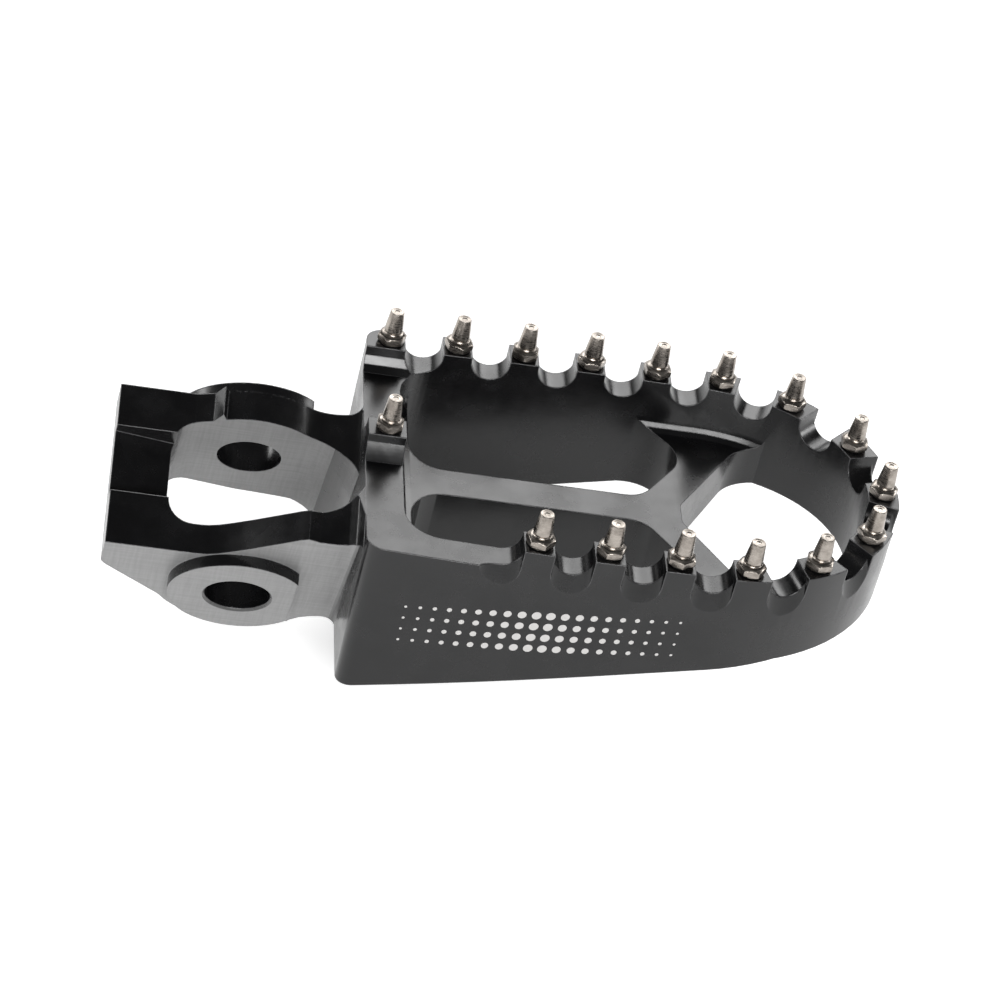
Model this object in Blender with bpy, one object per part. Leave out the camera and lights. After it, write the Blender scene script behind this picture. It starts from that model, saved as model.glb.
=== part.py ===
"""Foot peg for an off-road motorcycle: a milled body that pivots on a clevis, and sixteen screwed-in cleats.

The origin is the centre of the pivot bore. X points outboard along the peg, Y to the rear of the
tread, Z up. Sizes below are in millimetres and become metres where a mesh is made.
"""
import math

import bmesh
import bpy
from mathutils import Matrix, Vector

NAME = "foot_peg"
MM = 0.001
GAP = 0.3  # clearance between a cleat and the body

# Heights of the tread above the pivot
TOOTH_TOP = 19.1
TOOTH_RISE = 3.8  # teeth stand this far above the top of the rim
RIM_TOP = TOOTH_TOP - TOOTH_RISE
WEB_DROP = 5.4  # the webs lie this far below the top of the rim
WEB_TOP = RIM_TOP - WEB_DROP

# Outline of the tread, seen from above
INBOARD_X = 16.3  # flat inboard face
TREAD_LENGTH = 84.9
HALF_WIDTH = 26.45
TIP_LENGTH = 29.4  # length of the half ellipse that rounds the tip
SIDE_STRAIGHT = 16.7  # straight part of each side, behind the tip
SIDE_TAPER = 1.33  # how much narrower each side is at the inboard face
CORNER = 2.8  # inboard corners
RIM = 4.95  # thickness of the rim
INBOARD_WALL = 5.95
INNER_CORNER = 6.0
TIP_X = INBOARD_X + TREAD_LENGTH
ELLIPSE_X = TIP_X - TIP_LENGTH
TAPER_X = ELLIPSE_X - SIDE_STRAIGHT

# Underside: a slope from the inboard face, then a nearly flat tip
UNDER_INBOARD = -12.8
UNDER_SLOPE = 0.245
UNDER_TIP_X = TIP_X - 19.0
UNDER_TIP_SLOPE = 0.09

# Webs and through pockets
RIB_HALF = 3.1
FOOT_FILLET = 2.2  # at the foot of the inner walls
POCKET_CORNER = 5.7
BRANCH_ANGLE = 54.5  # the forked webs, from the X axis
FORK_X = ELLIPSE_X - 10.0  # where the fork leaves the rib
FORK_KNEE = HALF_WIDTH - 11.85  # half width at which the fork bends back to the rim
FORK_BACK = 0.83  # run back towards the inboard face, for each unit out to the rim
FORK_ROUND = 5.0
KNEE_ROUND = 5.5
FORK_END_ROUND = 8.0
TIP_POCKET_X = ELLIPSE_X - 3.65  # inboard end of the tip pocket
TIP_POCKET_HALF = 2.2
TIP_POCKET_TURN = HALF_WIDTH - 7.75  # half width at which the tip pocket's sides turn along the rim

# Teeth and cleats along the rim
ROW_X = INBOARD_X + 3.95  # first cleat of the rear row
REAR_ROW = 6
PITCH = (ELLIPSE_X + 2.875 - ROW_X) / (REAR_ROW - 1)
FRONT_ROW = 4  # the front row lacks the two inboard cleats
TIP_ANGLES = (58.6, 29.3)  # tip cleats on each side, plus one on the axis
INBOARD_CLEAT_X = INBOARD_X + 3.2
INSET = 2.6  # cleat centres from the outer wall
SCALLOP = 3.1  # radius of the scallops between the teeth
SCALLOP_ANGLES = (71.5, 44.0, 14.6)
LIP_DEPTH = 1.0  # outer lip of a scallop, cut down steeply
LIP_DROP = 3.0
TOOTH_HALF = 1.95
TOOTH_FOOT = 2.2

# Clevis, turned about X against the tread
TWIST = 25.0
BORE = 5.1
BORE_CHAMFER = 0.37
EAR_IN = 8.7
EAR_OUT = 13.7
BOSS = 10.9
BOSS_RISE = 2.0
BOSS_FLAT_X = 8.6  # outboard side of each boss is milled flat
BAR_X = -21.7
BAR_END_X = -12.7
BAR_TOP = 9.2
BAR_LOW = 2.8
CHANNEL_HALF = 5.6
CHANNEL_Y = 0.9
CHANNEL_DEPTH = 2.0
CHANNEL_SLOPE = 0.2
WINDOW_CORNER = 4.0
REAR_ROUND = 12.4  # top of the rear ear, and its boss
REAR_BOSS_RISE = 1.6
DOME_FILLET = 4.0  # between the stop bar and the rear ear's round top
NECK_LOW_X = 11.6  # lowest point of the hollow between the rear ear's round top and the tread
NECK_LOW = 8.6
REAR_LOW = [(-13.1, -8.9), (-11.05, -9.85), (-0.9, -11.7), (5.5, -12.2), (8.5, -12.6), (11.0, -13.9), (13.3, -15.5)]
REAR_LOW_END = -19.0
FRONT_BELLY = 13.6
GUSSET = [(BAR_X, BAR_TOP), (-7.5, BAR_TOP), (-6.2, 9.4), (-4.5, 10.1), (-2.5, 11.35), (0.3, 13.3), (7.2, 18.5),
          (8.2, 19.0), (9.0, 18.8), (10.0, 18.4), (12.9, 18.4), (14.3, 18.75), (15.4, 19.6), (16.2, 21.2), (18.8, 24.0)]
BLANK_HIGH = 24.0
WINDOW_ROUND_X = 8.1
EAR_FILLET = 1.8

# Cleat, measured down from its tip
CLEAT_HIGH = 5.8
TIP_RADIUS = 1.1
POST_RADIUS = 1.47
POST_HIGH = 3.6
COLLAR_RADIUS = 1.66
HEX_FLATS = 4.1
SHANK = 1.5
SHANK_LONG = 6.0

ARC = 10  # segments in a quarter circle
OVER = 4.0  # cutters run past the faces they cut by this much


def collection(name):
    group = bpy.data.collections.new(name)
    bpy.context.scene.collection.children.link(group)
    return group


def clear():
    for old in list(bpy.data.objects):
        bpy.data.objects.remove(old, do_unlink=True)


def arc(cx, cy, r, start, end, count=ARC):
    """Points on a circle from one angle to another, in degrees."""
    steps = [math.radians(start + (end - start) * i / count) for i in range(count + 1)]
    return [(cx + r * math.cos(a), cy + r * math.sin(a)) for a in steps]


def rounded(corners, count=6):
    """A polygon through (x, y, radius) corners, with each corner turned into an arc of that radius."""
    ring = []
    for i, (x, y, r) in enumerate(corners):
        here = Vector((x, y))
        back = (Vector(corners[i - 1][:2]) - here).normalized()
        ahead = (Vector(corners[(i + 1) % len(corners)][:2]) - here).normalized()
        if r <= 0:
            ring.append((x, y))
            continue
        half = back.angle(ahead) / 2
        centre = here + (back + ahead).normalized() * (r / math.sin(half))
        first = here + back * (r / math.tan(half)) - centre
        last = here + ahead * (r / math.tan(half)) - centre
        turn = first.angle_signed(last)
        for k in range(count + 1):
            step = first.copy()
            step.rotate(Matrix.Rotation(-turn * k / count, 2))
            ring.append(tuple(centre + step))
    return ring


def side(x):
    """Half width of the tread at x, for the part behind the tip."""
    back = max(0.0, TAPER_X - x) / (TAPER_X - INBOARD_X)
    return HALF_WIDTH - SIDE_TAPER * back * back


def tip(angle, inset=0.0):
    """Point on the tip's half ellipse, and its outward direction, moved inward by inset."""
    a = math.radians(angle)
    out = Vector((HALF_WIDTH * math.cos(a), TIP_LENGTH * math.sin(a))).normalized()
    on = Vector((ELLIPSE_X + TIP_LENGTH * math.cos(a), HALF_WIDTH * math.sin(a)))
    return on - out * inset, out


def tip_line(inset, start, end, count):
    return [tuple(tip(start + (end - start) * i / count, inset)[0]) for i in range(count + 1)]


def side_line(inset, x_end, count=6):
    """Rear side from the end of the tip ellipse inboard to x_end."""
    xs = [TAPER_X + (x_end - TAPER_X) * i / count for i in range(count + 1)]
    return [(x, side(x) - inset) for x in xs]


def half_outline(inset, x_in, corner):
    """Rear half of the outline, from the tip round to the inboard face."""
    edge = x_in + corner
    return (
        tip_line(inset, 0, 90, 2 * ARC)
        + side_line(inset, edge)
        + arc(edge, side(edge) - inset - corner, corner, 90, 180)[1:]
    )


def mirrored(half):
    """A closed ring from a rear half that starts on the X axis or ends clear of it."""
    front = [(x, -y) for x, y in reversed(half) if abs(y) > 1e-6]
    return list(half) + front


def loft(name, rings, group, turn=None):
    """One closed body grown from its first ring through the others, which hold the same number of points."""
    mesh = bmesh.new()
    verts = [mesh.verts.new(Vector(p) * MM) for p in rings[0]]
    first = last = [mesh.edges.new((verts[i - 1], verts[i])) for i in range(len(verts))]
    for ring in rings[1:]:
        order = {tuple(vert.co): i for i, vert in enumerate(verts)}
        grown = bmesh.ops.extrude_edge_only(mesh, edges=last)["geom"]
        last = [item for item in grown if isinstance(item, bmesh.types.BMEdge)]
        for vert in [item for item in grown if isinstance(item, bmesh.types.BMVert)]:
            verts[order[tuple(vert.co)]] = vert
        for vert, p in zip(verts, ring):
            vert.co = Vector(p) * MM
    for end in (first, last):
        bmesh.ops.contextual_create(mesh, geom=end)
    bmesh.ops.recalc_face_normals(mesh, faces=mesh.faces[:])
    if mesh.calc_volume(signed=True) < 0:
        bmesh.ops.reverse_faces(mesh, faces=mesh.faces[:])
    if turn:
        bmesh.ops.transform(mesh, matrix=turn, verts=mesh.verts[:])
    data = bpy.data.meshes.new(name)
    mesh.to_mesh(data)
    mesh.free()
    made = bpy.data.objects.new(name, data)
    group.objects.link(made)
    return made


def upright(name, ring, low, high, group, turn=None):
    """A prism standing along Z."""
    return loft(name, [[(x, y, z) for x, y in ring] for z in (low, high)], group, turn)


def across(name, ring, low, high, group, turn=None):
    """A prism lying along Y, from an outline in X and Z."""
    return loft(name, [[(x, y, z) for x, z in ring] for y in (low, high)], group, turn)


def boolean(target, tool, operation):
    """Cut with or join a helper, which is then kept out of the result."""
    step = target.modifiers.new(tool.name, "BOOLEAN")
    step.operation = operation
    step.solver = "EXACT"
    step.object = tool
    tool.hide_render = True
    tool.display_type = "WIRE"


def material(name, colour, metallic, roughness):
    made = bpy.data.materials.new(name)
    made.use_nodes = True
    shader = made.node_tree.nodes["Principled BSDF"]
    shader.inputs["Base Color"].default_value = (*colour, 1)
    shader.inputs["Metallic"].default_value = metallic
    shader.inputs["Roughness"].default_value = roughness
    made.diffuse_color = (*colour, 1)
    return made


def cleat_places():
    """Centres of the cleats on the rim, rear row first and then round the tip to the front row."""
    rear = [(ROW_X + PITCH * i, side(ROW_X + PITCH * i) - INSET) for i in range(REAR_ROW)]
    nose = [tuple(tip(a, INSET)[0]) for a in TIP_ANGLES]
    end = [tuple(tip(0, INSET)[0])]
    front = [(x, -y) for x, y in reversed(rear[REAR_ROW - FRONT_ROW:])]
    return rear + nose + end + [(x, -y) for x, y in reversed(nose)] + front + [(INBOARD_CLEAT_X, 0.0)]


def scallop_places():
    """Where each scallop meets the outer wall, and the outward direction there."""
    found = []
    for i in range(REAR_ROW - 1):
        x = ROW_X + PITCH * (i + 0.5)
        found.append((Vector((x, side(x))), Vector((0, 1))))
    for a in SCALLOP_ANGLES:
        found.append(tip(a))
    first = REAR_ROW - FRONT_ROW - 1
    front = [(Vector((p.x, -p.y)), Vector((d.x, -d.y))) for p, d in found[first:]]
    return found + front


def scallop(name, place, out, group):
    """A round-bottomed slot through the rim whose floor falls away at the outer wall."""
    along = Vector((-out.y, out.x))
    level = RIM_TOP + SCALLOP
    fall = LIP_DROP / LIP_DEPTH
    stations = ((-RIM - 2.2, 0.0), (-LIP_DEPTH, 0.0), (1.5, fall * (LIP_DEPTH + 1.5)))
    rings = []
    for reach, drop in stations:
        bowl = arc(0, level - drop, SCALLOP, 180, 360, 18)
        bowl = [(-SCALLOP, TOOTH_TOP + OVER)] + bowl + [(SCALLOP, TOOTH_TOP + OVER)]
        base = place + out * reach
        rings.append([(base.x + along.x * t, base.y + along.y * t, z) for t, z in bowl])
    return loft(name, rings, group)


def tread(parts, cutters):
    """The rim, webs and teeth, as one block with everything cut from it."""
    deep = UNDER_INBOARD - OVER
    body = upright("peg_body", mirrored(half_outline(0, INBOARD_X, CORNER)), deep, TOOTH_TOP, parts)

    # Sloped underside
    knee = UNDER_INBOARD + UNDER_SLOPE * (UNDER_TIP_X - INBOARD_X)
    far = TIP_X + OVER
    start = INBOARD_X - OVER
    below = [
        (start, UNDER_INBOARD - UNDER_SLOPE * OVER),
        (UNDER_TIP_X, knee),
        (far, knee + UNDER_TIP_SLOPE * (far - UNDER_TIP_X)),
        (far, deep - OVER),
        (start, deep - OVER),
    ]
    wide = HALF_WIDTH + OVER
    boolean(body, across("cut_underside", below, -wide, wide, cutters), "DIFFERENCE")

    # Space inside the rim down to the webs, with a fillet at the foot of its walls
    inner_x = INBOARD_X + INBOARD_WALL
    rings = []
    for i in range(5):
        a = math.radians(90 * i / 4)
        shrink = FOOT_FILLET * (1 - math.sin(a))
        height = WEB_TOP + FOOT_FILLET * (1 - math.cos(a))
        ring = mirrored(half_outline(RIM + shrink, inner_x + shrink, INNER_CORNER - shrink))
        rings.append([(x, y, height) for x, y in ring])
    rings.append([(x, y, TOOTH_TOP + OVER) for x, y, _ in rings[-1]])
    boolean(body, loft("cut_inside", rings, cutters), "DIFFERENCE")

    # Through pockets, flush with the inside of the rim: one each side of the rib, and one at the tip
    left = inner_x + FOOT_FILLET
    lean = math.tan(math.radians(BRANCH_ANGLE))
    knee_x = FORK_X + (FORK_KNEE - RIB_HALF) / lean
    end_y = HALF_WIDTH - RIM + 0.1
    end_x = knee_x - FORK_BACK * (end_y - FORK_KNEE)
    high = RIM_TOP + OVER
    inside = mirrored(half_outline(RIM, inner_x, INNER_CORNER))
    rear = rounded([(left, RIB_HALF, POCKET_CORNER), (FORK_X, RIB_HALF, FORK_ROUND), (knee_x, FORK_KNEE, KNEE_ROUND),
                    (end_x, end_y, FORK_END_ROUND), (left, end_y, 0.0)])
    front = [(x, -y) for x, y in reversed(rear)]
    turn_x = TIP_POCKET_X + (TIP_POCKET_TURN - TIP_POCKET_HALF) / lean * 0.9
    edge = TIP_POCKET_TURN + 2.0
    nose = rounded([(far, edge, 0.0), (turn_x, TIP_POCKET_TURN, 5.0), (TIP_POCKET_X, TIP_POCKET_HALF, 2.5),
                    (TIP_POCKET_X, -TIP_POCKET_HALF, 2.5), (turn_x, -TIP_POCKET_TURN, 5.0), (far, -edge, 0.0)])
    for name, ring in (("rear", rear), ("front", front), ("tip", nose)):
        pocket = upright(f"cut_pocket_{name}", ring, deep - OVER, high, cutters)
        boolean(pocket, upright(f"keep_pocket_{name}", inside, deep - OVER - 1, high + 1, cutters), "INTERSECT")
        boolean(body, pocket, "DIFFERENCE")

    # Rim cut down where the front row has no teeth, and between the inboard teeth
    last = ROW_X + PITCH * (REAR_ROW - FRONT_ROW - 0.5)
    foot = TOOTH_HALF + TOOTH_FOOT
    rise = [(foot, RIM_TOP), (foot - 0.9, RIM_TOP + 1.0), (TOOTH_HALF + 0.3, RIM_TOP + 2.4),
            (TOOTH_HALF, TOOTH_TOP + OVER)]
    rear_tooth = side(ROW_X) - RIM + 0.4
    saddle = rise + [(rear_tooth, TOOTH_TOP + OVER), (rear_tooth - 0.4, RIM_TOP + 2.2),
                     (rear_tooth - 1.2, RIM_TOP + 0.9), (rear_tooth - TOOTH_FOOT, RIM_TOP)]
    shelf = [(-y, z) for y, z in rise] + [(-wide, TOOTH_TOP + OVER), (-wide, RIM_TOP)]
    for name, ring, end in (("cut_saddle", saddle, inner_x + 3.0), ("cut_shelf", shelf, last)):
        rings = [[(x, y, z) for y, z in ring] for x in (INBOARD_X - OVER, end)]
        boolean(body, loft(name, rings, cutters), "DIFFERENCE")
    return body


def between(points, x):
    """Height at x on a line through points."""
    for (x0, z0), (x1, z1) in zip(points, points[1:]):
        if x0 <= x <= x1:
            return z0 + (z1 - z0) * (x - x0) / (x1 - x0)
    return points[-1][1]


def clevis_profile(rear, reach):
    """Side outline of one ear in X and Z of the clevis, with the same X stations for both ears."""
    bar_r, bar_z = DOME_FILLET, BAR_TOP + DOME_FILLET
    bar_x = -math.sqrt((REAR_ROUND + bar_r) ** 2 - bar_z**2)
    neck_r = (NECK_LOW_X**2 + NECK_LOW**2 - REAR_ROUND**2) / (2 * (REAR_ROUND - NECK_LOW))
    neck_z = NECK_LOW + neck_r
    start_dome = math.degrees(math.atan2(bar_z, bar_x))
    end_dome = math.degrees(math.atan2(neck_z, NECK_LOW_X))
    face = INBOARD_X - 0.02
    end_neck = math.degrees(math.asin((face - NECK_LOW_X) / neck_r))
    smooth = [(BAR_X, BAR_TOP)] + arc(bar_x, bar_z, bar_r, 270, 180 + start_dome + 180, 5)
    smooth += arc(0, 0, REAR_ROUND, start_dome, end_dome, 18)[1:]
    smooth += arc(NECK_LOW_X, neck_z, neck_r, end_dome + 180, 270 + end_neck, 12)[1:]
    smooth = [(round(x, 2), z) for x, z in smooth] + [(round(face + 0.12, 2), BLANK_HIGH), (reach, BLANK_HIGH)]
    tops = sorted({round(x, 2) for x, _ in GUSSET + smooth if x <= reach})
    lows = [BAR_X, BAR_X + 0.7] + [-13.1 + 1.35 * i for i in range(17)] + [9.3, 10.5, 11.4, 13.0, 14.5, reach]
    if rear:
        top = smooth
        start = REAR_LOW[0]
        low = REAR_LOW + [(reach, REAR_LOW_END)]
    else:
        top = GUSSET
        belly = [(x, -math.sqrt(FRONT_BELLY**2 - x * x)) for x in [-11.75] + lows if -11.75 <= x <= 8.51]
        start = belly[0]
        low = belly + [(9.3, -11.2), (10.5, -15.0), (reach, -16.0)]
    foot = [(BAR_X, BAR_LOW), (BAR_X + 0.7, BAR_LOW - 1.2), start]
    ring = [(x, between(top, x)) for x in tops]
    for x in reversed(lows):
        ring.append((x, between(foot if x <= start[0] else low, x)))
    return ring


def clevis(body, cutters):
    """Two ears with bosses and a stop bar, joined to the tread by a short neck."""
    turn = Matrix.Rotation(math.radians(TWIST), 4, "X")
    reach = INBOARD_X + 2.5  # the clevis runs this far into the tread
    wide = EAR_OUT + 8.0
    stations = ((False, -wide), (False, -1.0), (True, 1.0), (True, wide))
    rings = [[(x, y, z) for x, z in clevis_profile(rear, reach)] for rear, y in stations]
    fork = loft("join_clevis", rings, cutters, turn)

    # Plan of the clevis, with a fillet where each ear meets the inboard face
    r = EAR_FILLET
    flare = arc(INBOARD_X - r, EAR_OUT + r, r, 270, 360, 6)
    plan = [(BAR_X - OVER, -EAR_OUT)] + [(x, -y) for x, y in flare] + [(reach + 2, -EAR_OUT - r)]
    plan += [(reach + 2, EAR_OUT + r)] + flare[::-1] + [(BAR_X - OVER, EAR_OUT)]
    tall = BLANK_HIGH + 6.0
    boolean(fork, upright("keep_plan", plan, -tall, tall, cutters, turn), "INTERSECT")

    # Window between the ears, round at its outboard end
    c = WINDOW_CORNER
    window = arc(WINDOW_ROUND_X, 0, EAR_IN, -90, 90, 2 * ARC)
    window += arc(BAR_END_X + c, EAR_IN - c, c, 90, 180, 8) + arc(BAR_END_X + c, c - EAR_IN, c, 180, 270, 8)
    boolean(fork, upright("cut_window", window, -tall - 1, tall + 1, cutters, turn), "DIFFERENCE")

    # Channel across the top of the stop bar, with a sloping floor
    rings = []
    for x in (BAR_X - OVER, BAR_END_X + 1.5):
        floor = BAR_TOP - CHANNEL_DEPTH - CHANNEL_SLOPE * (x - BAR_X)
        sides = (CHANNEL_Y - CHANNEL_HALF, CHANNEL_Y + CHANNEL_HALF)
        rings.append([(x, sides[0], BAR_TOP + OVER), (x, sides[0], floor),
                      (x, sides[1], floor), (x, sides[1], BAR_TOP + OVER)])
    boolean(fork, loft("cut_channel", rings, cutters, turn), "DIFFERENCE")

    # Top and underside of the neck lie square to the tread where they meet it
    high = BLANK_HIGH + 14.0
    flush = [(INBOARD_X - 2.4, high), (INBOARD_X - 2.4, RIM_TOP), (INBOARD_X - 0.02, RIM_TOP),
             (INBOARD_X + 0.4, RIM_TOP - 0.4), (reach + 3, RIM_TOP - 0.4), (reach + 3, high)]
    boolean(fork, across("cut_neck_flush", flush, -high, high, cutters), "DIFFERENCE")
    low = UNDER_INBOARD
    under = [(9.0, -high), (9.0, low - 3.6), (9.6, low - 2.4), (11.0, low - 1.1), (12.6, low - 0.3),
             (14.0, low + 0.05), (INBOARD_X - 0.2, low + 0.1), (reach + 3, low + 2.0), (reach + 3, -high)]
    boolean(fork, across("cut_neck_under", under, -high, high, cutters), "DIFFERENCE")

    # Bosses, milled flat on the side that faces the tread, and the pivot bore through both
    for name, radius, near, far in (("join_boss_front", BOSS, -EAR_OUT - BOSS_RISE, 0.5 - EAR_OUT),
                                    ("join_boss_rear", REAR_ROUND, EAR_OUT - 0.5, EAR_OUT + REAR_BOSS_RISE)):
        flat = math.degrees(math.acos(BOSS_FLAT_X / radius))
        disc = arc(0, 0, radius, flat, 360 - flat, 5 * ARC)
        boolean(fork, across(name, disc, near, far, cutters, turn), "UNION")
    front, rear = -EAR_OUT - BOSS_RISE, EAR_OUT + REAR_BOSS_RISE
    rings = []
    for y, r in ((front - 1, BORE + BORE_CHAMFER + 1), (front + BORE_CHAMFER, BORE),
                 (rear - BORE_CHAMFER, BORE), (rear + 1, BORE + BORE_CHAMFER + 1)):
        rings.append([(x, y, z) for x, z in arc(0, 0, r, 0, 360, 4 * ARC)[:-1]])
    boolean(fork, loft("cut_bore", rings, cutters, turn), "DIFFERENCE")
    boolean(body, fork, "UNION")


def cleat(name, x, y, group):
    """One cleat: a tapered post on a collar and hexagon, over a shank that screws into the rim."""
    sides = 18
    tip_z = TOOTH_TOP + CLEAT_HIGH
    seat = TOOTH_TOP + GAP
    collar = tip_z - POST_HIGH
    levels = [  # height, radius, and how far the section is a hexagon
        (tip_z, TIP_RADIUS - 0.12, 0),
        (tip_z - 0.14, TIP_RADIUS, 0), (collar, POST_RADIUS, 0), (collar - 0.15, COLLAR_RADIUS, 0),
        (collar - 0.5, HEX_FLATS / 2, 0.35), (collar - 0.75, HEX_FLATS / 2, 1),
        (seat + 0.2, HEX_FLATS / 2, 1), (seat, HEX_FLATS / 2 - 0.05, 0.4), (seat, SHANK, 0),
        (TOOTH_TOP - SHANK_LONG + 0.5, SHANK, 0), (TOOTH_TOP - SHANK_LONG, SHANK - 0.4, 0)]
    rings = []
    for z, r, hexagon in levels:
        ring = []
        for i in range(sides):
            a = 2 * math.pi * i / sides
            off = (a + math.pi / 6) % (math.pi / 3) - math.pi / 6
            stretch = 1 + hexagon * (1 / math.cos(off) - 1)
            ring.append((x + r * stretch * math.cos(a), y + r * stretch * math.sin(a), z))
        rings.append(ring)
    return loft(name, rings, group)


def build():
    clear()
    parts = collection(NAME)
    cutters = collection("cutters")
    cutters.hide_render = True
    body = tread(parts, cutters)
    for i, (place, out) in enumerate(scallop_places()):
        boolean(body, scallop(f"cut_scallop_{i + 1:02d}", place, out, cutters), "DIFFERENCE")
    clevis(body, cutters)
    anodised = material("black_anodised", (0.025, 0.025, 0.03), 0.6, 0.35)
    steel = material("stainless", (0.62, 0.6, 0.57), 1.0, 0.3)
    body.data.materials.append(anodised)
    for i, (x, y) in enumerate(cleat_places()):
        hole = [(x + px, y + py) for px, py in arc(0, 0, SHANK + GAP, 0, 360, 16)[:-1]]
        deep = TOOTH_TOP - SHANK_LONG - GAP
        boolean(body, upright(f"cut_hole_{i + 1:02d}", hole, deep, TOOTH_TOP + OVER, cutters), "DIFFERENCE")
        stud = cleat(f"cleat_{i + 1:02d}", x, y, parts)
        stud.data.materials.append(steel)
    return body


build()
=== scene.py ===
"""Looks for the foot peg: black anodised billet body, turned stainless cleats, pale studio table."""
import math

import bmesh
import bpy
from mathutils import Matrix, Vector


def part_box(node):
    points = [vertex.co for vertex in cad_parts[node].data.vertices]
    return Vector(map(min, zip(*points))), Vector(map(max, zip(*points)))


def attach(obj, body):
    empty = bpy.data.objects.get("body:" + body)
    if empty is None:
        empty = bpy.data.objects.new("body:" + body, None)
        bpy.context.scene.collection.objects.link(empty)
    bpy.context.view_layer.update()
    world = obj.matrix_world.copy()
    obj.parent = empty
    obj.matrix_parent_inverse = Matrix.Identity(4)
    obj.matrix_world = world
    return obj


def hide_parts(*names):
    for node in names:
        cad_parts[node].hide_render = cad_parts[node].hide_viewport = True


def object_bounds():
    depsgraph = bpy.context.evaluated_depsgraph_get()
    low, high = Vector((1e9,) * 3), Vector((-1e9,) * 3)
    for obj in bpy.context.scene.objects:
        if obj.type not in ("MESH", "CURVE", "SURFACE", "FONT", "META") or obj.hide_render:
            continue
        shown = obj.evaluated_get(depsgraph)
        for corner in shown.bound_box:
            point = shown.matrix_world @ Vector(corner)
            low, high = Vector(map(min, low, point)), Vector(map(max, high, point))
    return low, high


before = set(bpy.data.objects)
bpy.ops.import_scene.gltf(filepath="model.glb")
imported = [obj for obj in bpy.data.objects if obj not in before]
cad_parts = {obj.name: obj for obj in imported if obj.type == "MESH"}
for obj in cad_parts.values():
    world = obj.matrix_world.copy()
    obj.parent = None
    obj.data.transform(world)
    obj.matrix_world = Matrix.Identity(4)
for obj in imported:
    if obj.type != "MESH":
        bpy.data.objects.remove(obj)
cad_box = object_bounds()

MM = 0.001
TWIST = math.radians(25.0)  # turn of the clevis about X
PIVOT_AXIS = (0.0, math.cos(TWIST), math.sin(TWIST))
EAR_IN = 0.0087  # inner faces of the ears, from the middle of the pivot
EAR_MARGIN = 0.0012  # the ears' painted sheen starts this far inside that face, clear of the channel
NECK_X = (0.0152, 0.0163)  # the painted sheen fades out between these, where the clevis meets the tread

# Etched band on the front wall
DOT_PITCH = 0.0022
DOT_ROWS = 4
BAND_MIDDLE_X = 0.045
BAND_HALF_LENGTH = 0.0225
BAND_LOW_Z = -0.0004
BAND_SLOPE = 0.105  # rise of the rows towards the tip
FRONT_WALL_Y = -0.0245

# Cleats, in millimetres
CLEAT_COUNT = 16
CLEAT_HIGH = 5.8
POST_HIGH = 3.6  # from the tip down to the collar
POST_BASE = 1.47
COLLAR_RADIUS = 1.66
HEX_FLATS = 4.06
STEPS = 60  # points round a cleat
SIXTH = math.pi / 3  # angle of one side of the hexagon


# ---------------------------------------------------------------- node helpers

def socket(group, name, kind, out=False, value=None):
    """Adds one named socket to a node group."""
    way = "OUTPUT" if out else "INPUT"
    made = group.interface.new_socket(name=name, in_out=way, socket_type=f"NodeSocket{kind}")
    if value is not None:
        made.default_value = value
    return made


def new_group(name, inputs, outputs):
    """An empty shader node group with its named sockets; returns the group and its two end nodes."""
    group = bpy.data.node_groups.new(name, "ShaderNodeTree")
    for label, kind, value in inputs:
        socket(group, label, kind, value=value)
    for label, kind in outputs:
        socket(group, label, kind, out=True)
    return group, group.nodes.new("NodeGroupInput"), group.nodes.new("NodeGroupOutput")


def math_node(tree, operation, a, b=None):
    """A Math node on numbers or sockets."""
    node = tree.nodes.new("ShaderNodeMath")
    node.operation = operation
    for i, value in enumerate((a, b)):
        if value is None:
            continue
        if isinstance(value, (int, float)):
            node.inputs[i].default_value = value
        else:
            tree.links.new(value, node.inputs[i])
    return node.outputs[0]


def spread(tree, value, low, high, to_low=0.0, to_high=1.0):
    """Maps low..high onto to_low..to_high, held at both ends."""
    node = tree.nodes.new("ShaderNodeMapRange")
    node.interpolation_type = "SMOOTHSTEP"
    tree.links.new(value, node.inputs["Value"])
    for name, number in (("From Min", low), ("From Max", high), ("To Min", to_low), ("To Max", to_high)):
        node.inputs[name].default_value = number
    return node.outputs["Result"]


def noise(tree, where, scale, detail=3.0, rough=0.55):
    """Noise from 0 to 1 at a place; scale counts features to the metre."""
    node = tree.nodes.new("ShaderNodeTexNoise")
    node.inputs["Scale"].default_value = scale
    node.inputs["Detail"].default_value = detail
    node.inputs["Roughness"].default_value = rough
    tree.links.new(where, node.inputs["Vector"])
    return node.outputs["Fac"]


def stretched(tree, where, scale):
    """A place scaled differently along each axis, which draws noise out into lines."""
    node = tree.nodes.new("ShaderNodeMapping")
    node.inputs["Scale"].default_value = scale
    tree.links.new(where, node.inputs["Vector"])
    return node.outputs["Vector"]


def blend(tree, mask, low, high):
    """Colour low where mask is 0, colour high where it is 1."""
    node = tree.nodes.new("ShaderNodeMix")
    node.data_type = "RGBA"
    tree.links.new(mask, node.inputs["Factor"])
    for name, value in (("A", low), ("B", high)):
        slot = next(s for s in node.inputs if s.name == name and s.type == "RGBA")
        if isinstance(value, tuple):
            slot.default_value = (*value, 1.0)
        else:
            tree.links.new(value, slot)
    return next(s for s in node.outputs if s.type == "RGBA")


def along_axis(tree, value):
    """Length of a vector along the pivot axis, whichever way it points."""
    dot = tree.nodes.new("ShaderNodeVectorMath")
    dot.operation = "DOT_PRODUCT"
    tree.links.new(value, dot.inputs[0])
    dot.inputs[1].default_value = PIVOT_AXIS
    return math_node(tree, "ABSOLUTE", dot.outputs["Value"])


def object_place(tree):
    return tree.nodes.new("ShaderNodeTexCoord").outputs["Object"]


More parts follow.
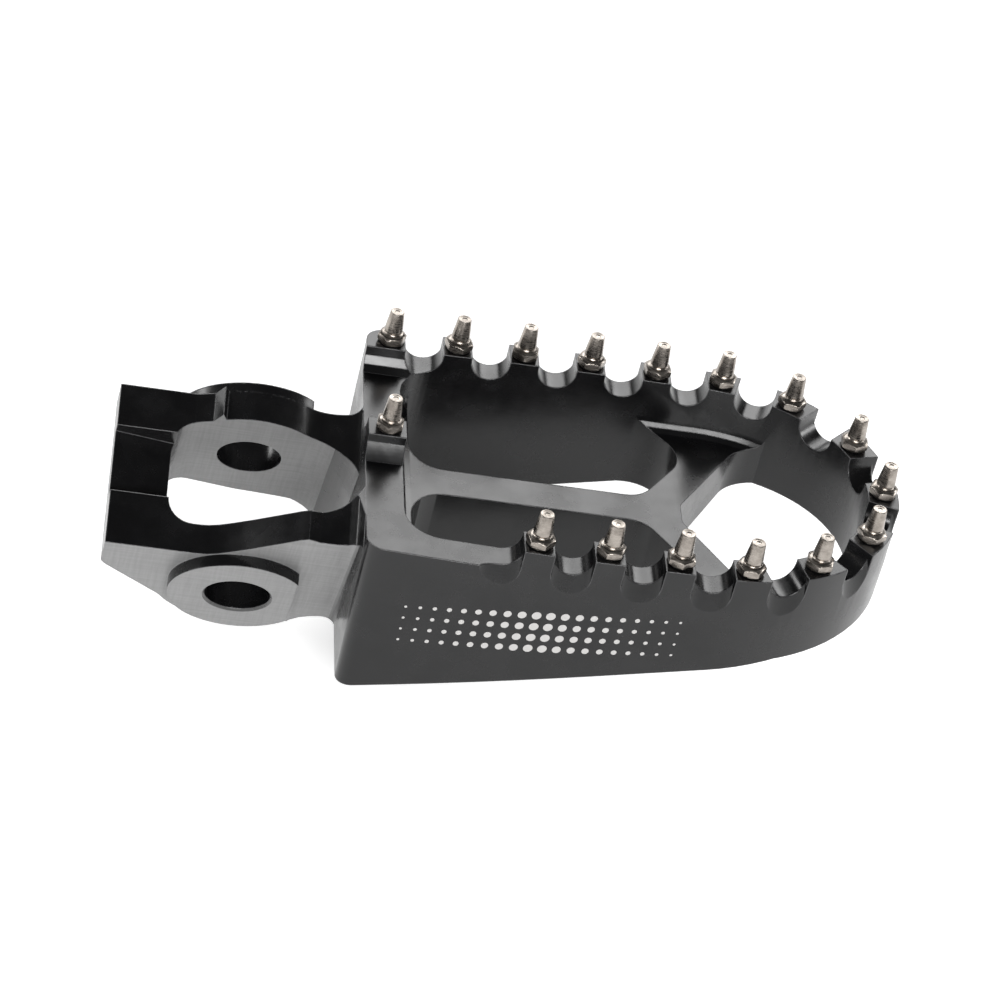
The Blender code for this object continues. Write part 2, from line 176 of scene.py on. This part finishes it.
def placed(tree, group, **values):
    """Places a node group in a material and sets its inputs."""
    node = tree.nodes.new("ShaderNodeGroup")
    node.node_tree = group
    for name, value in values.items():
        node.inputs[name].default_value = value
    return node


# ---------------------------------------------------------------- shared effects

def make_edge_wear():
    """Where a sharp edge has been broken: brighter, thinner anodising."""
    group, start, end = new_group("edge_wear", [("Radius", "Float", 0.0003)],
                                  [("Mask", "Float"), ("Normal", "Vector")])
    bevel = group.nodes.new("ShaderNodeBevel")
    bevel.samples = 6
    group.links.new(start.outputs["Radius"], bevel.inputs["Radius"])
    shape = group.nodes.new("ShaderNodeNewGeometry")
    dot = group.nodes.new("ShaderNodeVectorMath")
    dot.operation = "DOT_PRODUCT"
    group.links.new(bevel.outputs["Normal"], dot.inputs[0])
    group.links.new(shape.outputs["Normal"], dot.inputs[1])
    bend = math_node(group, "SUBTRACT", 1.0, dot.outputs["Value"])
    specks = noise(group, object_place(group), 900.0, 4.0)
    broken = spread(group, specks, 0.25, 0.6, 0.45, 1.0)
    worn = math_node(group, "MULTIPLY", spread(group, bend, 0.015, 0.16), broken)
    group.links.new(worn, end.inputs["Mask"])
    group.links.new(bevel.outputs["Normal"], end.inputs["Normal"])
    return group


def make_cutter_marks():
    """Faint feed lines and lap marks left by an end mill."""
    outputs = [("Height", "Float"), ("Mottle", "Float"), ("Lines", "Float")]
    group, _, end = new_group("cutter_marks", [], outputs)
    place = object_place(group)
    feed = noise(group, stretched(group, place, (90.0, 2600.0, 2600.0)), 1.0, 2.0)
    fall = noise(group, stretched(group, place, (2400.0, 120.0, 120.0)), 1.0, 2.0)
    wave = group.nodes.new("ShaderNodeTexWave")
    wave.wave_type = "RINGS"
    wave.rings_direction = "SPHERICAL"
    wave.inputs["Scale"].default_value = 260.0
    wave.inputs["Distortion"].default_value = 1.4
    group.links.new(place, wave.inputs["Vector"])
    half_feed, half_fall = (math_node(group, "MULTIPLY", mark, 0.5) for mark in (feed, fall))
    lines = math_node(group, "ADD", half_feed, half_fall)
    height = math_node(group, "ADD", lines, math_node(group, "MULTIPLY", wave.outputs["Fac"], 0.25))
    group.links.new(height, end.inputs["Height"])
    group.links.new(lines, end.inputs["Lines"])
    group.links.new(noise(group, place, 140.0, 5.0, 0.6), end.inputs["Mottle"])
    return group


def make_side_face_sheen():
    """Mask of the painted sheen: 1 on the milled side faces of the ears and bosses, picked by which way
    they face, 0 elsewhere, the channel's walls included.
    """
    group, _, end = new_group("side_face_sheen", [], [("Mask", "Float")])
    shape = group.nodes.new("ShaderNodeNewGeometry")
    facing = spread(group, along_axis(group, shape.outputs["Normal"]), 0.55, 0.97)
    place = object_place(group)
    split = group.nodes.new("ShaderNodeSeparateXYZ")
    group.links.new(place, split.inputs["Vector"])
    inboard = spread(group, split.outputs["X"], *NECK_X, 1.0, 0.0)
    outer = math_node(group, "GREATER_THAN", along_axis(group, place), EAR_IN - EAR_MARGIN)
    ears = math_node(group, "MULTIPLY", inboard, outer)
    group.links.new(math_node(group, "MULTIPLY", facing, ears), end.inputs["Mask"])
    return group


def make_etched_dots():
    """A plain band of etched dots on the front wall, largest in the middle and fading to both ends."""
    group, _, end = new_group("etched_dots", [], [("Mask", "Float")])

    def product(*masks):
        total = masks[0]
        for mask in masks[1:]:
            total = math_node(group, "MULTIPLY", total, mask)
        return total

    split = group.nodes.new("ShaderNodeSeparateXYZ")
    group.links.new(object_place(group), split.inputs["Vector"])
    along = math_node(group, "SUBTRACT", split.outputs["X"], BAND_MIDDLE_X)
    climb = math_node(group, "MULTIPLY", along, BAND_SLOPE)
    level = math_node(group, "SUBTRACT", split.outputs["Z"], climb)
    up = math_node(group, "SUBTRACT", level, BAND_LOW_Z)
    squares = []
    for value in (along, up):
        part = math_node(group, "FRACT", math_node(group, "DIVIDE", value, DOT_PITCH))
        offset = math_node(group, "ABSOLUTE", math_node(group, "SUBTRACT", part, 0.5))
        squares.append(math_node(group, "POWER", offset, 2.0))
    far = math_node(group, "SQRT", math_node(group, "ADD", *squares))
    reach = math_node(group, "DIVIDE", math_node(group, "ABSOLUTE", along), BAND_HALF_LENGTH)
    size = math_node(group, "SUBTRACT", 0.34, math_node(group, "MULTIPLY", reach, 0.26))
    dots = math_node(group, "LESS_THAN", far, size)
    long = math_node(group, "LESS_THAN", reach, 1.0)
    above = math_node(group, "GREATER_THAN", up, 0.0)
    below = math_node(group, "LESS_THAN", up, DOT_PITCH * DOT_ROWS)
    front = math_node(group, "LESS_THAN", split.outputs["Y"], FRONT_WALL_Y)
    shape = group.nodes.new("ShaderNodeNewGeometry")
    facing = group.nodes.new("ShaderNodeSeparateXYZ")
    group.links.new(shape.outputs["Normal"], facing.inputs["Vector"])
    flat = math_node(group, "LESS_THAN", facing.outputs["Y"], -0.9)
    group.links.new(product(dots, long, above, below, front, flat), end.inputs["Mask"])
    return group


edge_wear = make_edge_wear()
cutter_marks = make_cutter_marks()
side_face_sheen = make_side_face_sheen()
etched_dots = make_etched_dots()


# ---------------------------------------------------------------- finishes

def start_material(name, metallic, ior):
    """A material with its tree and its Principled shader."""
    made = bpy.data.materials.new(name)
    made.use_nodes = True
    shader = made.node_tree.nodes["Principled BSDF"]
    shader.inputs["Metallic"].default_value = metallic
    shader.inputs["IOR"].default_value = ior
    return made, made.node_tree, shader


def bumped(tree, shader, height, strength, distance, normal):
    """Bump from a height, over a normal that already softens the edges."""
    bump = tree.nodes.new("ShaderNodeBump")
    bump.inputs["Strength"].default_value = strength
    bump.inputs["Distance"].default_value = distance
    tree.links.new(height, bump.inputs["Height"])
    tree.links.new(normal, bump.inputs["Normal"])
    tree.links.new(bump.outputs["Normal"], shader.inputs["Normal"])


def anodised_black():
    """Black anodising: satin walls, the milled sides of the ears painted a brighter grey as a painted
    sheen, bare metal in the dots.
    """
    made, tree, shader = start_material("anodised_black", 0.0, 1.5)
    wear = placed(tree, edge_wear, Radius=0.0003)
    marks = placed(tree, cutter_marks)
    sheen_sides = placed(tree, side_face_sheen)
    dots = placed(tree, etched_dots)
    mottle = spread(tree, marks.outputs["Mottle"], 0.35, 0.7)
    black = blend(tree, mottle, (0.003, 0.003, 0.0034), (0.006, 0.006, 0.0065))
    lines = spread(tree, marks.outputs["Lines"], 0.35, 0.65)
    # painted sheen: the ears' side faces get a lighter grey than the black, with the real cutter lines
    # running through it
    milled_lines_and_sheen = blend(tree, lines, (0.17, 0.17, 0.17), (0.21, 0.21, 0.21))
    body = blend(tree, sheen_sides.outputs["Mask"], black, milled_lines_and_sheen)
    edged = blend(tree, math_node(tree, "MULTIPLY", wear.outputs["Mask"], 0.35), body, (0.32, 0.32, 0.33))
    etched = blend(tree, dots.outputs["Mask"], edged, (0.5, 0.49, 0.48))
    tree.links.new(etched, shader.inputs["Base Color"])
    rough = spread(tree, marks.outputs["Mottle"], 0.3, 0.7, 0.2, 0.3)
    rough = math_node(tree, "ADD", rough, math_node(tree, "MULTIPLY", sheen_sides.outputs["Mask"], 0.12))
    rough = math_node(tree, "ADD", rough, math_node(tree, "MULTIPLY", dots.outputs["Mask"], 0.3))
    tree.links.new(rough, shader.inputs["Roughness"])
    bumped(tree, shader, marks.outputs["Height"], 0.12, 0.00004, wear.outputs["Normal"])
    return made


def turned_steel():
    """Stainless with fine rings from the lathe."""
    made, tree, shader = start_material("turned_steel", 1.0, 2.5)
    wear = placed(tree, edge_wear, Radius=0.00008)
    place = object_place(tree)
    rings = noise(tree, stretched(tree, place, (300.0, 300.0, 9000.0)), 1.0, 2.0)
    mottle = noise(tree, place, 700.0, 4.0)
    tint = blend(tree, spread(tree, mottle, 0.3, 0.7), (0.25, 0.225, 0.2), (0.38, 0.345, 0.31))
    tint = blend(tree, math_node(tree, "MULTIPLY", wear.outputs["Mask"], 0.6), tint, (0.62, 0.58, 0.54))
    tree.links.new(tint, shader.inputs["Base Color"])
    tree.links.new(spread(tree, rings, 0.3, 0.7, 0.2, 0.38), shader.inputs["Roughness"])
    bumped(tree, shader, rings, 0.35, 0.00006, wear.outputs["Normal"])
    return made


def table_white():
    """Matt white card that glows a little, so the part's shadow stays faint."""
    made, tree, shader = start_material("table_white", 0.0, 1.4)
    grain = noise(tree, object_place(tree), 60.0, 2.0)
    white = blend(tree, grain, (0.93, 0.93, 0.93), (0.95, 0.95, 0.95))
    tree.links.new(white, shader.inputs["Base Color"])
    shader.inputs["Roughness"].default_value = 0.9
    shader.inputs["Specular IOR Level"].default_value = 0.0
    shader.inputs["Emission Color"].default_value = (1.0, 1.0, 1.0, 1.0)
    shader.inputs["Emission Strength"].default_value = 0.55
    return made


BLACK = anodised_black()
STEEL = turned_steel()


# ---------------------------------------------------------------- shared steps

def crisp_edges(piece, degrees):
    """Splits every edge sharper than this, so that only the gentler ones shade smooth."""
    split = piece.modifiers.new("crisp_edges", "EDGE_SPLIT")
    split.split_angle = math.radians(degrees)
    split.use_edge_sharp = False


def stood(name, mesh, finish):
    """Turns a finished mesh into a named object with one material."""
    data = bpy.data.meshes.new(name)
    mesh.to_mesh(data)
    mesh.free()
    data.materials.append(finish)
    piece = bpy.data.objects.new(name, data)
    bpy.context.scene.collection.objects.link(piece)
    return piece


# ---------------------------------------------------------------- body

def finish_body():
    """The milled body keeps its own mesh; rounded faces shade smooth and edges stay crisp."""
    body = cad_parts["peg_body"]
    body.data.materials.clear()
    body.data.materials.append(BLACK)
    weld = body.modifiers.new("weld", "WELD")
    weld.merge_threshold = 0.000002
    for face in body.data.polygons:
        face.use_smooth = True
    crisp_edges(body, 15)


# ---------------------------------------------------------------- cleats

def hexagon_reach(angle):
    """Distance from the middle to the side of the hexagon at an angle."""
    off = (angle + SIXTH / 2) % SIXTH - SIXTH / 2
    return HEX_FLATS / 2 / math.cos(off)


def cleat_rings(tip_z, seat_z):
    """(height, radius, is hexagon) down one cleat in millimetres, from the tip's dimple to its seat."""
    collar = tip_z - POST_HIGH
    beyond = 9.0  # a radius that the hexagon always cuts
    rings = [  # dimple, rounded tip, tapered post, undercut and collar
        (tip_z - 0.16, 0.1, False), (tip_z - 0.13, 0.32, False), (tip_z - 0.04, 0.44, False),
        (tip_z - 0.06, 0.62, False), (tip_z, 0.78, False), (tip_z, 0.98, False),
        (tip_z - 0.05, 1.07, False), (tip_z - 0.14, 1.11, False),
        (collar + 0.35, POST_BASE - 0.01, False), (collar + 0.15, POST_BASE, False),
        (collar, 1.38, False), (collar - 0.2, 1.34, False),
        (collar - 0.35, 1.42, False), (collar - 0.42, COLLAR_RADIUS, False)]
    top, low = collar - 0.42, seat_z + 0.12
    for i in range(1, 6):  # cone that cuts the top of the hexagon
        rings.append((top - 0.11 * i, COLLAR_RADIUS + 0.15 * i, True))
    rings.append((top - 0.75, beyond, True))
    rings.append((low + 0.45, beyond, True))
    for i in range(4):  # cone that cuts its underside
        rings.append((low + 0.32 - 0.11 * i, 2.3 - 0.12 * i, True))
    rings.append((seat_z, 1.75, False))
    return rings


def build_cleat(name, node):
    """One turned and milled cleat, standing where its solid stands."""
    low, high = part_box(node)
    centre = (low + high) / 2
    tip_z = high.z / MM
    turn = math.radians((int(node[-2:]) * 37) % 60)  # screwed home, so each hexagon stops at its own angle
    mesh = bmesh.new()
    loop = None
    for z, radius, hexagon in cleat_rings(tip_z, tip_z - CLEAT_HIGH):
        verts = []
        for i in range(STEPS):
            a = 2 * math.pi * i / STEPS
            reach = (min(radius, hexagon_reach(a)) if hexagon else radius) * MM
            verts.append(mesh.verts.new((reach * math.cos(a + turn), reach * math.sin(a + turn), z * MM)))
        edges = [mesh.edges.new((verts[i - 1], verts[i])) for i in range(STEPS)]
        if loop is None:
            bmesh.ops.contextual_create(mesh, geom=edges)
        else:
            for i in range(STEPS):
                mesh.faces.new((loop[i - 1], loop[i], verts[i], verts[i - 1]))
        loop = verts
    bmesh.ops.contextual_create(mesh, geom=edges)
    bmesh.ops.recalc_face_normals(mesh, faces=mesh.faces[:])
    for face in mesh.faces:
        face.smooth = True
    bmesh.ops.translate(mesh, verts=mesh.verts[:], vec=(centre.x, centre.y, 0.0))
    piece = stood(name, mesh, STEEL)
    crisp_edges(piece, 28)
    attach(piece, "root")
    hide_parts(node)


def build_cleats():
    for number in range(1, CLEAT_COUNT + 1):
        build_cleat(f"turned_cleat_{number:02d}", f"cleat_{number:02d}")


# ---------------------------------------------------------------- studio

def build_table():
    """A wide pale table, curved up gently at its far edge."""
    level = cad_box[0][2] - 0.0002  # just under the lowest point of the part
    mesh = bmesh.new()
    rows = []
    for y, rise in [(-3.0, 0.0), (-1.0, 0.0), (1.2, 0.0), (2.0, 0.05), (2.8, 0.3), (3.4, 0.8)]:
        rows.append([mesh.verts.new((x, y, level + rise)) for x in (-3.0, -1.0, 1.0, 3.0)])
    for near, far in zip(rows, rows[1:]):
        for i in range(3):
            mesh.faces.new((near[i], near[i + 1], far[i + 1], far[i]))
    for face in mesh.faces:
        face.smooth = True
    stood("table", mesh, table_white())


def softbox(name, place, aim, width, height, strength):
    """A rectangular light at a place, facing a point; strength in watts."""
    data = bpy.data.lights.new(name, "AREA")
    data.shape = "RECTANGLE"
    data.size = width
    data.size_y = height
    data.energy = strength
    lamp = bpy.data.objects.new(name, data)
    lamp.location = place
    lamp.rotation_euler = (Vector(aim) - Vector(place)).to_track_quat("-Z", "Y").to_euler()
    bpy.context.scene.collection.objects.link(lamp)


def light_studio():
    """A dim room with four wide, low lights around the table."""
    world = bpy.data.worlds.new("studio")
    world.use_nodes = True
    room = world.node_tree.nodes["Background"]
    room.inputs["Color"].default_value = (1.0, 1.0, 1.0, 1.0)
    room.inputs["Strength"].default_value = 0.07
    bpy.context.scene.world = world
    middle = (0.04, 0.0, 0.0)
    softbox("back_light", (0.1, 1.6, 1.1), middle, 2.4, 0.8, 30.0)
    softbox("low_left_light", (-2.2, 0.5, 0.5), middle, 1.2, 0.6, 20.0)
    softbox("low_right_light", (2.2, 0.5, 0.5), middle, 1.2, 0.6, 20.0)
    softbox("front_light", (0.0, -2.4, 1.2), middle, 1.8, 0.6, 60.0)


def set_camera():
    """A long lens, looking down on the peg from in front of the clevis."""
    data = bpy.data.cameras.new("camera")
    data.sensor_width = 36.0
    data.lens = 133.1826
    data.clip_start = 0.01
    data.clip_end = 20.0
    camera = bpy.data.objects.new("camera", data)
    camera.location = (-0.0531161, -0.4527896, 0.3602913)
    camera.rotation_euler = [math.radians(a) for a in (51.75623, -11.57678, -2.54356)]
    bpy.context.scene.collection.objects.link(camera)
    bpy.context.scene.camera = camera
    bpy.context.scene.view_settings.view_transform = "Standard"


finish_body()
build_cleats()
build_table()
light_studio()
set_camera()
